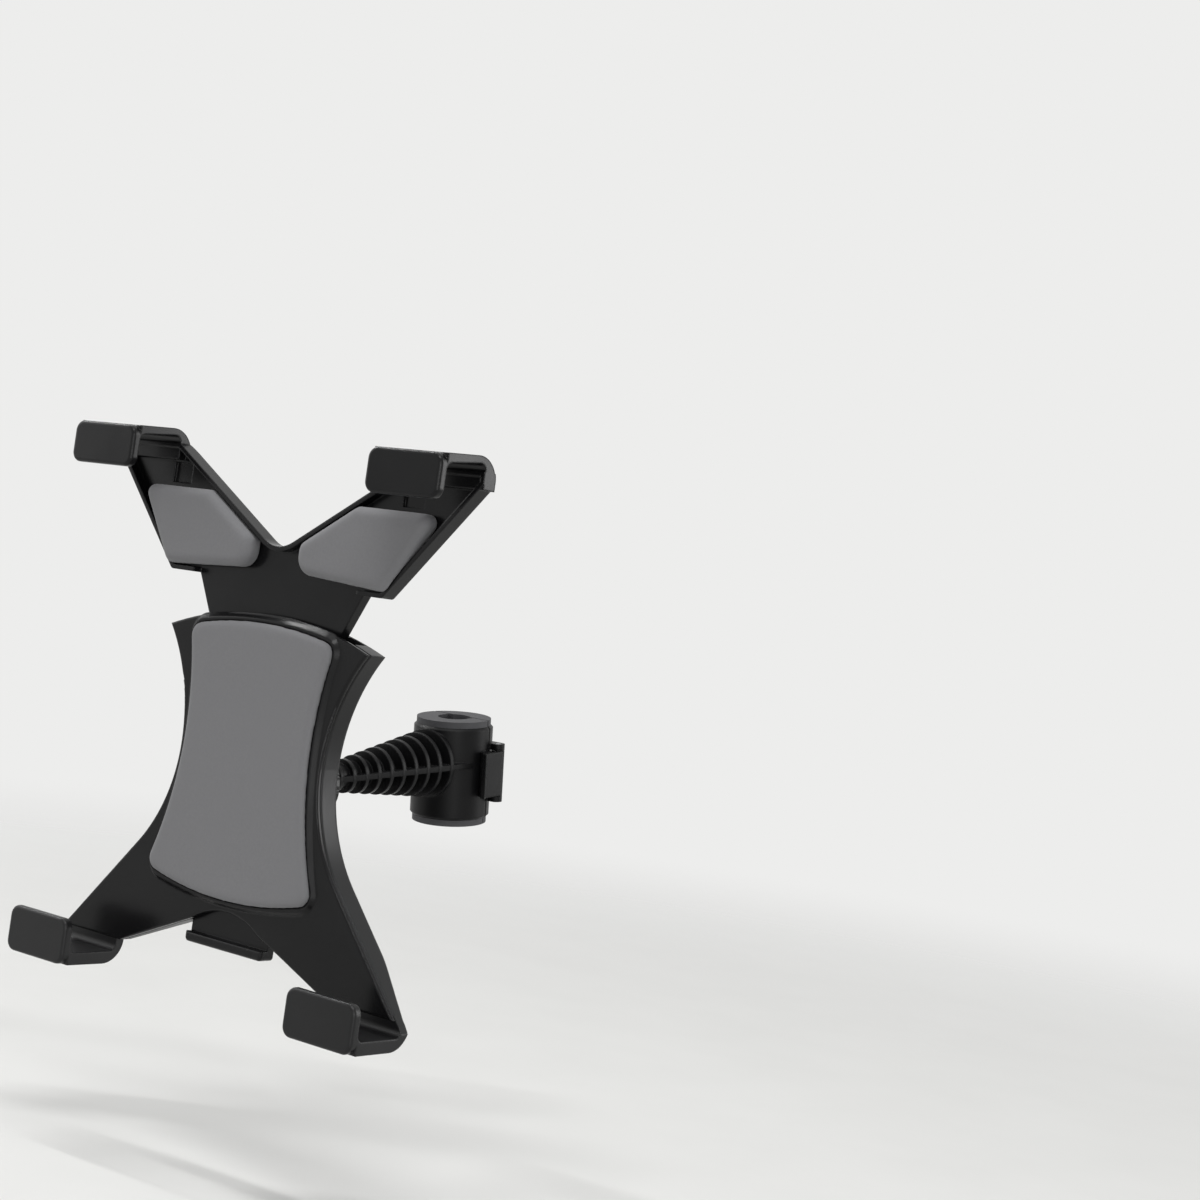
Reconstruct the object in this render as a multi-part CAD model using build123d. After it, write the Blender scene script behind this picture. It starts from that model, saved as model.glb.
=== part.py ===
from build123d import *
import os
from math import asin, cos, degrees, radians, sin, tan

# Tablet holder for a headrest post. A clamp with a hinged jaw closes on the post, a finned arm
# carries a ball joint, and the holder on it grips a tablet between two hooks on the feet of its
# housing and two hooks on a Y-shaped bracket that slides out of the housing.
# Millimetres. The origin is the middle of the clamp's bore, +Z is up along the holder, and the
# holder faces -Y. The post leans towards the holder.

# Clamp: its own frame has Z along the post and Y to the rear
POST_D = 12.0
POST_LEAN = 8.0
LINER_WALL = 2.4
CLAMP_WALL = 6.2
CLAMP_HEIGHT = 34.0
COLLAR_HEIGHT = 2.3
COLLAR_STEP = 0.9
SPLIT_BACK = 4.0
SPLIT_GAP = 0.6
CLAMP_EDGE = 0.8
JAW_PIN_D = 3.0
KNUCKLE_WALL = 1.8
KNUCKLE_STAND = 1.6
KNUCKLE_LENGTH = 9.0
LATCH_PIN_D = 2.0
LATCH_WALL = 1.4
LATCH_HEIGHT = 16.5
LATCH_PLATE = 2.0
LATCH_STAND = 1.0
LATCH_BEHIND = 3.6
LATCH_TOOTH = 1.8
LATCH_LIP = 2.0
RIDGE_DEPTH = 2.9
RIDGE_STAND = 1.4
EAR_THICK = 2.2

# Arm from the clamp to the ball
ARM_REACH = 81.0
ARM_RISE = 3.5
ARM_TIP_GAP = 14.0
ARM_TIP_D = 9.4
ARM_CORE_TIP_D = 8.4
ARM_CORE_ROOT_D = 13.0
FIN_FIRST = 3.5
FIN_PITCH = 5.5
FIN_COUNT = 10
FIN_THICK = 1.7
WEB_THICK = 2.0

# Ball joint
BALL_D = 15.0
NECK_D = 7.6
SHANK_D = 5.2
SHANK_LENGTH = 17.0
STUD_WALL = 3.0
STUD_SCREW_D = 3.0
STUD_SCREW_GRIP = 11.0
STUD_HEAD_D = 5.4
STUD_HEAD = 1.9
BALL_TILT = 16.0
SEAT_WALL = 1.5
SEAT_TOP = 1.0
SOCKET_WALL = 2.2
SOCKET_DEPTH = 9.0
SOCKET_LENGTH = 12.4
NUT_WALL = 2.7
NUT_REAR = 7.6
NUT_SKIRT = 11.0
NUT_EDGE = 0.9
FLUTE_D = 2.2
FLUTE_COUNT = 20

# Housing, seen from the front, heights from the ball's middle
WAIST_W = 65.6
WAIST_Z = 9.0
SHOULDER_W = 92.6
SHOULDER_Z = 48.0
CROWN_Z = 56.3
SIDE_R = 55.0
FOOT_SLOPE = 48.0
ARCH_W = 31.0
ARCH_Z = -48.7
ARCH_CROWN_Z = -44.0
INSTEP_DROP = 15.7
COVER_FOOT_Z = -63.0

# Housing, from the back to the front
BACK_GAP = 14.4
HOUSING_DEPTH = 10.2
COVER_THICK = 2.0
HOUSING_WALL = 2.2
BACK_EDGE = 1.6
SEAM_BEVEL = 0.5
COVER_EDGE = 0.7
HEEL_Z = -43.0
HEEL_END_Z = -63.0

# Hooks
LOWER_HOOK_X = 67.2
LOWER_HOOK_W = 29.4
LOWER_FLOOR_Z = -67.8
UPPER_HOOK_X = 69.5
UPPER_HOOK_W = 30.6
UPPER_FLOOR_Z = 110.5
UPPER_RISE = 2.4
LOWER_FLOOR = 4.2
UPPER_FLOOR = 2.8
HOOK_STRIP = 3.3
UPPER_STRIP = 5.4
LIP_REACH = 11.6
LIP_THICK = 3.0
LIP_CORNER = 3.6
LIP_EDGE = 1.1
HOOK_ROOT = 6.0
MOUTH = 15.2
HOOK_INNER_R = 2.5
HOOK_BACK_R = 8.5

# Pads
PAD_RISE = 3.2
PLATEAU_RISE = 1.4
PLATEAU_GROW = 2.4
PAD_SEAT = 0.6
PAD_BEVEL = 1.2
PAD_CORNER = 4.5
PAD_TOP_INSET = 3.2
PAD_TOP_W = 68.0
PAD_SHOULDER_Z = 49.2
PAD_WAIST_W = 58.8
PAD_WAIST_Z = 7.0
PAD_HIP_W = 79.0
PAD_HIP_Z = -34.5
PAD_BOTTOM_Z = -40.2

# Extending bracket, heights at the drawn position
V_APEX_Z = 76.7
V_SLOPE = 31.7
V_ROUND = 13.0
ARM_FOOT_X = 49.3
ARM_FOOT_Z = 66.7
ARM_CORNER = 2.0
TRAY_DEPTH = 5.8
TRAY_FLOOR = 2.3
RIM = 1.6
NECK_TOP_W = 76.6
NECK_OVERLAP = 8.0
NECK_SLOPE = 62.2
NECK_END_Z = 48.0
TAIL_W = 28.0
TAIL_TOP_Z = 44.0
TAIL_END_Z = -17.0
TAIL_THICK = 3.8
TAIL_CORNER = 2.0
DRAW_OUT = 36.0
DRAW_IN = 10.0
NOTCH_PITCH = 3.0
NOTCH_DEPTH = 1.6
RECESS_W = 9.0
RECESS_H = 7.0
RECESS_FLOOR = 1.2

# Pads on the bracket
ARM_PAD_TOP_Z = 95.2
ARM_PAD_INNER_X = 11.2
ARM_PAD_INSET = 2.4
ARM_PAD_OUTER_TOP_X = 68.2
ARM_PAD_OUTER_LOW_X = 51.0
ARM_PAD_LOW_Z = 68.6
ARM_PAD_INNER_LOW_Z = 71.0
ARM_PAD_INNER_R = 6.0
ARM_PAD_CORNER = 3.0
ARM_PAD_BEVEL = 1.9

# Catch and release
STOP_D = 6.0
STOP_Z = 27.0
RAIL_WALL = 2.0
RAIL_LOW_Z = -30.0
LEAF_THICK = 0.5
LEAF_WIDTH = 3.2
LEAF_STAND = 4.6
LEAF_FOOT_Z = -4.0
LEAF_TIP_Z = 25.0
LEAF_BEND = 4.5
LEAF_POST = 2.0
TAB_W = 36.4
TAB_THICK = 3.0
TAB_LOW_Z = -57.0
TAB_TOP_Z = -40.0
TAB_LIP = 2.9
TAB_LIP_H = 3.4
TAB_LIP_EDGE = 1.0
TAB_LUG = 2.6
TAB_LUG_H = 3.0
TAB_TRAVEL = 3.5
TAB_CORNER = 1.5
TAB_ARM_W = 3.0
BOW_SPAN = 22.0
BOW_RISE = 6.0
BOW_THICK = 0.4
BOW_RIB = 2.0
BOW_RIB_W = 9.0

# Housing screws
SCREW_D = 2.4
SCREW_HEAD_D = 5.0
SCREW_HEAD = 1.3
BOSS_WALL = 1.4
SCREW_SPOTS = [(0.0, STOP_Z), (27.4, 10.0), (-27.4, 10.0), (46.0, -40.0), (-46.0, -40.0)]

# Clearances
FIT = 0.08
GAP = 0.3
BALL_PLAY = 0.09

# Worked out from the above
POST_R = POST_D / 2
LINER_R = POST_R + LINER_WALL
CLAMP_R = LINER_R + CLAMP_WALL
COLLAR_R = CLAMP_R - COLLAR_STEP
KNUCKLE_R = JAW_PIN_D / 2 + KNUCKLE_WALL
FRONT_SPLIT = SPLIT_BACK - SPLIT_GAP / 2
REAR_SPLIT = SPLIT_BACK + SPLIT_GAP / 2
BIG = 6 * CLAMP_R
ARM_TIP_Y = ARM_TIP_GAP - ARM_REACH
BALL_R = BALL_D / 2
SEAT_R = BALL_R + BALL_PLAY + SEAT_WALL
SOCKET_R = SEAT_R + FIT + SOCKET_WALL
NUT_R = SOCKET_R + FIT + NUT_WALL

BACK_Y = -BACK_GAP
FRONT_Y = BACK_Y - HOUSING_DEPTH
SEAM_Y = FRONT_Y + COVER_THICK
FLOOR_Y = BACK_Y - HOUSING_WALL
PAD_Y = FRONT_Y - PAD_RISE
PLATEAU_Y = FRONT_Y - PLATEAU_RISE
LIP_BACK_Y = PAD_Y - MOUTH
LIP_Y = LIP_BACK_Y - LIP_THICK
TAIL_Y = (SEAM_Y + FLOOR_Y - TAIL_THICK) / 2
TAIL_BACK_Y = TAIL_Y + TAIL_THICK
TRAY_BACK_Y = TAIL_Y + TRAY_FLOOR
RIM_Y = TRAY_BACK_Y - TRAY_DEPTH
HOOK_BACK_Y = SEAM_Y + HOOK_STRIP
TAB_Y = (SEAM_Y + FLOOR_Y - TAB_THICK) / 2
RAIL_X = TAIL_W / 2 + GAP
LEAF_X = RAIL_X + RAIL_WALL + LEAF_STAND

# The clamp and arm lean with the post; the holder stays upright on the ball
CLAMP = Location((0, 0, 0), (POST_LEAN, 0, 0))
ARM = CLAMP * Pos(0, 0, ARM_RISE)
HOLDER = Pos(*(ARM * Pos(0, -ARM_REACH, 0)).position)


def slab(outline, front, back):
    """A plate of an X-Z outline between two Y planes."""
    plane = Plane(origin=(0, back, 0), x_dir=(1, 0, 0), z_dir=(0, -1, 0))
    return extrude(plane * outline, amount=back - front)


def bar(profile, low_x, high_x):
    """A straight length of a Y-Z profile between two X planes."""
    plane = Plane(origin=(low_x, 0, 0), x_dir=(0, 1, 0), z_dir=(1, 0, 0))
    return extrude(plane * profile, amount=high_x - low_x)


def block(x0, x1, y0, y1, z0, z1):
    """A box between corner planes."""
    return Pos((x0 + x1) / 2, (y0 + y1) / 2, (z0 + z1) / 2) * Box(x1 - x0, y1 - y0, z1 - z0)


def rod(radius, y0, y1):
    """A round bar along Y between two Y planes."""
    return Pos(0, (y0 + y1) / 2, 0) * Rot(90, 0, 0) * Cylinder(radius, y1 - y0)


def outline(points, corners=()):
    """A closed polygon with some of its corners rounded, each named by its index."""
    face = make_face(Polyline(*points, close=True))
    for index, radius in corners:
        spot = Vector(*points[index])
        vertex = min(face.vertices(), key=lambda v: (Vector(v.X, v.Y) - spot).length)
        face = fillet(vertex, radius)
    return face


def pair(piece):
    """A piece with its mirror image across the middle plane."""
    return piece + mirror(piece, about=Plane.YZ)


def edges_at_y(solid, y):
    """The edges that lie in one Y plane."""
    return [e for e in solid.edges() if abs(e.bounding_box().min.Y - y) < 1e-4
            and abs(e.bounding_box().max.Y - y) < 1e-4]


def edges_at_z(solid, z):
    """The edges that lie in one Z plane."""
    return [e for e in solid.edges() if abs(e.bounding_box().min.Z - z) < 1e-4
            and abs(e.bounding_box().max.Z - z) < 1e-4]


# Clamp pieces, in the clamp's frame

def front_side():
    return block(-BIG, BIG, -BIG, FRONT_SPLIT, -BIG, BIG)


def rear_side():
    return block(-BIG, BIG, REAR_SPLIT, BIG, -BIG, BIG)


def post_channel(radius):
    """The way in for the post: a bore that runs straight back to the split."""
    return Cylinder(radius, BIG) + block(-radius, radius, 0, BIG, -BIG / 2, BIG / 2)


def clamp_body():
    body = Cylinder(CLAMP_R, CLAMP_HEIGHT)
    rims = edges_at_z(body, CLAMP_HEIGHT / 2) + edges_at_z(body, -CLAMP_HEIGHT / 2)
    return chamfer(rims, CLAMP_EDGE)


def jaw_axis():
    return Pos(-(CLAMP_R + KNUCKLE_STAND), SPLIT_BACK, 0)


def outer_knuckles(radius, gap):
    """The two knuckles of the front half, or the room for them."""
    length = KNUCKLE_LENGTH + 2 * gap
    middle = KNUCKLE_LENGTH + GAP
    return Pos(0, 0, middle) * Cylinder(radius, length) + Pos(0, 0, -middle) * Cylinder(radius, length)


def fin_radius(y):
    """The taper of the arm's fins, from its tip to the post's axis."""
    share = (y - ARM_TIP_Y) / -ARM_TIP_Y
    return ARM_TIP_D / 2 + (CLAMP_R - ARM_TIP_D / 2) * share


def finned_arm():
    """Core, round fins and horizontal web of the arm, along its own axis."""
    core = outline([(0, ARM_TIP_Y), (ARM_CORE_TIP_D / 2, ARM_TIP_Y), (ARM_CORE_ROOT_D / 2, 0), (0, 0)])
    arm = revolve(core, Axis.Y)
    for step in range(FIN_COUNT):
        middle = ARM_TIP_Y + FIN_FIRST + step * FIN_PITCH
        arm += rod(fin_radius(middle), middle - FIN_THICK / 2, middle + FIN_THICK / 2)
    tip = ARM_TIP_D / 2
    web = outline([(-tip, ARM_TIP_Y), (tip, ARM_TIP_Y), (CLAMP_R, 0), (-CLAMP_R, 0)])
    arm += extrude(web, amount=WEB_THICK / 2, both=True)
    bore_end = ARM_TIP_Y + SHANK_LENGTH + GAP
    arm -= rod(SHANK_D / 2 + FIT, ARM_TIP_Y - 1, bore_end)
    arm -= rod(STUD_SCREW_D / 2 + FIT, bore_end - 1, bore_end + STUD_WALL + 1)
    arm -= rod(STUD_HEAD_D / 2 + GAP, bore_end + STUD_WALL, 0)
    return arm


def clamp_arm():
    body = clamp_body() & front_side()
    ridge = block(LINER_R, CLAMP_R + RIDGE_STAND, FRONT_SPLIT - RIDGE_DEPTH, FRONT_SPLIT,
                  -LATCH_HEIGHT / 2, LATCH_HEIGHT / 2)
    body += ridge
    body += Pos(0, 0, ARM_RISE) * finned_arm()
    body -= jaw_axis() * Cylinder(KNUCKLE_R + GAP, KNUCKLE_LENGTH + 2 * GAP)
    body += jaw_axis() * outer_knuckles(KNUCKLE_R, 0)
    body -= post_channel(LINER_R)
    body -= jaw_axis() * Cylinder(JAW_PIN_D / 2 + FIT, BIG)
    return body


def latch_axis():
    return Pos(CLAMP_R + LATCH_STAND, SPLIT_BACK + LATCH_BEHIND, 0)


def clamp_jaw():
    body = clamp_body() & rear_side()
    body -= Cylinder(LINER_R, BIG)
    body -= jaw_axis() * outer_knuckles(KNUCKLE_R + GAP, GAP)
    body += jaw_axis() * Cylinder(KNUCKLE_R, KNUCKLE_LENGTH)
    body -= jaw_axis() * Cylinder(JAW_PIN_D / 2 + FIT, BIG)
    ear_r = LATCH_PIN_D / 2 + LATCH_WALL
    ear = Cylinder(ear_r, EAR_THICK)
    ear += block(LINER_R - CLAMP_R, 0, -ear_r, ear_r, -EAR_THICK / 2, EAR_THICK / 2)
    lift = LATCH_HEIGHT / 2 + GAP + EAR_THICK / 2
    for side in (1, -1):
        body += latch_axis() * Pos(0, 0, side * lift) * ear
    body -= latch_axis() * Cylinder(LATCH_PIN_D / 2 + FIT, BIG)
    return body


def liner(side, channel):
    """Rubber liner of one clamp half, with a collar over each end of the shell."""
    body = Cylinder(LINER_R - FIT, CLAMP_HEIGHT)
    for end in (1, -1):
        body += Pos(0, 0, end * (CLAMP_HEIGHT + COLLAR_HEIGHT) / 2) * Cylinder(COLLAR_R, COLLAR_HEIGHT)
    return (body & side) - channel


def liner_front():
    return liner(front_side(), post_channel(POST_R))


def liner_rear():
    return liner(rear_side(), Cylinder(POST_R, BIG))


def jaw_pin():
    return jaw_axis() * Cylinder(JAW_PIN_D / 2, 3 * KNUCKLE_LENGTH + 2 * GAP)


def latch_pin():
    return latch_axis() * Cylinder(LATCH_PIN_D / 2, LATCH_HEIGHT + 2 * GAP + 2 * EAR_THICK)


def latch_clip():
    """Hook plate that reaches from its pivot over the ridge on the front half."""
    pivot_x = CLAMP_R + LATCH_STAND
    pivot_y = SPLIT_BACK + LATCH_BEHIND
    inner = CLAMP_R + RIDGE_STAND + GAP
    outer = inner + LATCH_PLATE
    tooth_y = FRONT_SPLIT - RIDGE_DEPTH - GAP
    tip_y = tooth_y - LATCH_TOOTH
    boss = LATCH_PIN_D / 2 + LATCH_WALL
    points = [
        (outer, pivot_y),
        (outer, tip_y),
        (outer + LATCH_PLATE / 2, tip_y - LATCH_LIP),
        (inner + LATCH_PLATE / 2, tip_y - LATCH_LIP),
        (inner, tip_y),
        (CLAMP_R + GAP, tip_y),
        (CLAMP_R + GAP, tooth_y),
        (inner, tooth_y),
        (inner, pivot_y),
    ]
    plate = outline(points, [(0, LATCH_PLATE / 3), (8, LATCH_PLATE / 3)])
    plate += Pos(pivot_x, pivot_y) * Circle(boss)
    plate -= Pos(pivot_x, pivot_y) * Circle(LATCH_PIN_D / 2 + FIT)
    return extrude(plate, amount=LATCH_HEIGHT / 2, both=True)


# Ball joint, stud in the arm's frame and the rest in the holder's

def ball_stud():
    end = ARM_TIP_Y + SHANK_LENGTH
    stud = Pos(0, -ARM_REACH, 0) * Sphere(BALL_R)
    stud += rod(NECK_D / 2, -ARM_REACH, ARM_TIP_Y - FIT)
    stud += rod(SHANK_D / 2, -ARM_REACH, end)
    stud -= rod(STUD_SCREW_D / 2 + FIT, end - STUD_SCREW_GRIP - GAP, end + 1)
    return stud


def stud_screw():
    end = ARM_TIP_Y + SHANK_LENGTH
    seat = end + GAP + STUD_WALL + FIT
    screw = rod(STUD_SCREW_D / 2, end - STUD_SCREW_GRIP, seat + STUD_HEAD / 2)
    screw += rod(STUD_HEAD_D / 2, seat, seat + STUD_HEAD)
    half = STUD_HEAD_D / 3
    slot = STUD_HEAD_D / 10
    screw -= block(-half, half, seat + STUD_HEAD / 2, seat + STUD_HEAD + 1, -slot, slot)
    screw -= block(-slot, slot, seat + STUD_HEAD / 2, seat + STUD_HEAD + 1, -half, half)
    return screw


def ball_seat():
    seat = rod(SEAT_R, -SEAT_TOP - SOCKET_DEPTH, -SEAT_TOP)
    return seat - Sphere(BALL_R + BALL_PLAY)


def ring_nut():
    nut = rod(NUT_R, -NUT_SKIRT, NUT_REAR)
    nut = chamfer(edges_at_y(nut, NUT_REAR) + edges_at_y(nut, -NUT_SKIRT), NUT_EDGE)
    for step in range(FLUTE_COUNT):
        turn = Rot(0, step * 360 / FLUTE_COUNT, 0)
        nut -= turn * Pos(NUT_R + FLUTE_D / 4, 0, 0) * rod(FLUTE_D / 2, -NUT_SKIRT - 1, NUT_REAR + 1)
    nut -= rod(SOCKET_R + FIT, -NUT_SKIRT - 1, -SEAT_TOP + GAP)
    nut -= Sphere(BALL_R + BALL_PLAY)
    # The rear opening leaves the stud's neck its tilt
    side = NECK_D / 2 / cos(radians(BALL_TILT)) + GAP
    rise = tan(radians(BALL_TILT))
    flare = outline([(0, 0), (side, 0), (side + (NUT_REAR + 1) * rise, NUT_REAR + 1), (0, NUT_REAR + 1)])
    return nut - revolve(flare, Axis.Y)


# Holder pieces, in the holder's frame

def hip_point():
    """Where the side's lower arc runs into the straight outer edge of a foot."""
    turn = radians(90 - FOOT_SLOPE)
    return WAIST_W / 2 + SIDE_R * (1 - cos(turn)), WAIST_Z - SIDE_R * sin(turn)


def foot_corner():
    """Where the outer edge of a foot meets the outer end of its hook."""
    hip_x, hip_z = hip_point()
    out_x = LOWER_HOOK_X + LOWER_HOOK_W / 2
    return out_x, hip_z - (out_x - hip_x) * tan(radians(FOOT_SLOPE))


def housing_outline():
    """Front view of the housing with its feet, down to the floors of the lower hooks."""
    waist = WAIST_W / 2
    shoulder = SHOULDER_W / 2
    rise = SHOULDER_Z - WAIST_Z
    flare = shoulder - waist
    upper_r = (rise ** 2 + flare ** 2) / (2 * flare)
    upper_turn = degrees(asin(rise / upper_r))
    hip = hip_point()
    corner = foot_corner()
    in_x = LOWER_HOOK_X - LOWER_HOOK_W / 2
    low_z = LOWER_FLOOR_Z - LOWER_FLOOR
    arch_x = ARCH_W / 2
    side = [
        CenterArc((waist + upper_r, WAIST_Z), upper_r, 180 - upper_turn, upper_turn),
        CenterArc((waist + SIDE_R, WAIST_Z), SIDE_R, 180, 90 - FOOT_SLOPE),
        Polyline(hip, corner, (corner[0], low_z), (in_x, low_z),
                 (in_x, ARCH_Z - INSTEP_DROP), (arch_x, ARCH_Z)),
    ]
    edges = list(side)
    edges += [mirror(edge, about=Plane.YZ) for edge in side]
    edges.append(ThreePointArc((-shoulder, SHOULDER_Z), (0, CROWN_Z), (shoulder, SHOULDER_Z)))
    edges.append(ThreePointArc((-arch_x, ARCH_Z), (0, ARCH_CROWN_Z), (arch_x, ARCH_Z)))
    return make_face(Curve() + edges)


def hook_profile(floor_z, up, floor, rise, strip_front, back):
    """U of a hook from the side: lip, floor and back strip. up is the way out of the hook."""
    outer = floor_z - up * floor
    tip = floor_z + up * LIP_REACH
    root = floor_z + up * HOOK_ROOT
    points = [
        (LIP_Y, tip), (LIP_Y, outer), (back, outer - up * rise), (back, root),
        (strip_front, root), (strip_front, floor_z - up * rise), (LIP_BACK_Y, floor_z), (LIP_BACK_Y, tip),
    ]
    return outline(points, [(2, HOOK_BACK_R), (5, HOOK_INNER_R), (6, HOOK_INNER_R), (7, LIP_EDGE)])


def hook(middle_x, width, floor_z, up, floor, rise, strip_front, back):
    """A hook with round corners on its lip and along its floor, seen from the front."""
    profile = hook_profile(floor_z, up, floor, rise, strip_front, back)
    body = bar(profile, middle_x - width / 2, middle_x + width / 2)
    outer = floor_z - up * floor
    tip = floor_z + up * LIP_REACH
    lip_shape = Pos(middle_x, (outer + tip) / 2) * RectangleRounded(width, abs(tip - outer), LIP_CORNER)
    lip = body & slab(lip_shape, LIP_Y - 1, LIP_BACK_Y)
    lip = fillet(edges_at_y(lip, LIP_Y), LIP_EDGE)
    rest = body & block(middle_x - width, middle_x + width, LIP_BACK_Y, back, floor_z - 2 * width, floor_z + 2 * width)
    return lip + rest


def pad_outline(grow):
    """Hourglass of the middle pad, with a margin all round."""
    top = PAD_TOP_W / 2 + grow
    top_z = PAD_SHOULDER_Z + grow
    waist = PAD_WAIST_W / 2 + grow
    hip = PAD_HIP_W / 2 + grow
    hip_z = PAD_HIP_Z - grow
    edges = [
        ThreePointArc((-top, top_z), (0, CROWN_Z - PAD_TOP_INSET + grow), (top, top_z)),
        ThreePointArc((top, top_z), (waist, PAD_WAIST_Z), (hip, hip_z)),
        ThreePointArc((hip, hip_z), (0, PAD_BOTTOM_Z - grow), (-hip, hip_z)),
        ThreePointArc((-hip, hip_z), (-waist, PAD_WAIST_Z), (-top, top_z)),
    ]
    face = make_face(Curve() + edges)
    return fillet(face.vertices(), PAD_CORNER + grow)


def screw_boss(spot):
    """Boss on the cover for one housing screw; the middle one also stops the tail."""
    radius = STOP_D / 2 if spot[0] == 0 else SCREW_D / 2 + BOSS_WALL
    return Pos(spot[0], 0, spot[1]) * rod(radius, SEAM_Y, FLOOR_Y - FIT)


def front_cover():
    plate = slab(housing_outline(), FRONT_Y, SEAM_Y)
    wide = LOWER_HOOK_X + LOWER_HOOK_W
    plate -= block(-wide, wide, FRONT_Y - 1, SEAM_Y + 1, LOWER_FLOOR_Z - 2 * LOWER_FLOOR, COVER_FOOT_Z)
    plate = fillet(edges_at_y(plate, FRONT_Y), COVER_EDGE)
    plate = chamfer(edges_at_y(plate, SEAM_Y), SEAM_BEVEL)
    root = COVER_THICK / 4
    field = slab(pad_outline(PLATEAU_GROW + root), PLATEAU_Y, FRONT_Y + 2 * root)
    plate += chamfer(edges_at_y(field, PLATEAU_Y), PLATEAU_RISE + root)
    plate -= slab(pad_outline(FIT), PLATEAU_Y - 1, PLATEAU_Y + PAD_SEAT)
    for spot in SCREW_SPOTS:
        plate += screw_boss(spot)
        hole = rod(SCREW_D / 2 + FIT, SEAM_Y - COVER_THICK / 2, FLOOR_Y + 1)
        plate -= Pos(spot[0], 0, spot[1]) * hole
    return plate


def center_pad():
    pad = slab(pad_outline(0), PAD_Y, PLATEAU_Y + PAD_SEAT)
    return chamfer(edges_at_y(pad, PAD_Y), PAD_BEVEL)


def heel():
    """What the tapering heels of the feet leave off the back of the housing."""
    low = LOWER_FLOOR_Z - 3 * LOWER_FLOOR
    rear = BACK_Y + HOUSING_DEPTH
    profile = outline([(BACK_Y, HEEL_Z), (HOOK_BACK_Y, HEEL_END_Z), (HOOK_BACK_Y, low), (rear, low),
                       (rear, HEEL_Z)])
    wide = LOWER_HOOK_X + LOWER_HOOK_W
    return bar(profile, -wide, wide)


def neck_half_width(z):
    """Half the width of the bracket's neck at a height of the drawn position."""
    return NECK_TOP_W / 2 - (ARM_FOOT_Z - z) / tan(radians(NECK_SLOPE))


def shell_cavity():
    """Room inside the rear shell for the tail, the catch and the top of the release tab."""
    inner = offset(housing_outline(), amount=-HOUSING_WALL)
    room = slab(inner, SEAM_Y - 1, FLOOR_Y)
    low = TAB_TOP_Z + TAB_TRAVEL
    wide = LOWER_HOOK_X + LOWER_HOOK_W
    room -= block(-wide, wide, SEAM_Y - 2, BACK_Y, LOWER_FLOOR_Z - 3 * LOWER_FLOOR, low)
    # Slot in the crown for the neck at its deepest
    half = neck_half_width(CROWN_Z + DRAW_IN) + GAP
    room += block(-half, half, SEAM_Y - 1, FLOOR_Y, SHOULDER_Z - HOUSING_WALL, CROWN_Z + 1)
    # Pocket with ledges for the lugs of the release tab, and its way out under the arch
    lug = TAB_W / 2 + TAB_LUG + GAP
    ledge = TAB_TOP_Z - TAB_LUG_H - GAP
    room += block(-lug, lug, SEAM_Y - 1, FLOOR_Y, ledge, low + 1)
    tab = TAB_W / 2 + GAP
    room += block(-tab, tab, SEAM_Y - 1, TAB_Y + TAB_THICK + GAP, TAB_LOW_Z - 1, ledge + 1)
    for spot in SCREW_SPOTS:
        if spot[1] < low:
            room += Pos(spot[0], 0, spot[1]) * rod(SCREW_D / 2 + BOSS_WALL + GAP, SEAM_Y - 1, FLOOR_Y)
    return room


def foot_hook():
    """Right lower hook, its back strip trimmed to the outer edge of the foot."""
    body = hook(LOWER_HOOK_X, LOWER_HOOK_W, LOWER_FLOOR_Z, 1, LOWER_FLOOR, 0, SEAM_Y, HOOK_BACK_Y)
    out_x, out_z = foot_corner()
    run = HOOK_ROOT * 2
    drop = run * tan(radians(FOOT_SLOPE))
    outside = outline([(out_x + run, out_z - drop), (out_x + run, out_z + drop), (out_x - run, out_z + drop)])
    return body - slab(outside, SEAM_Y - HOOK_INNER_R - 1, HOOK_BACK_Y + 1)


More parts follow.
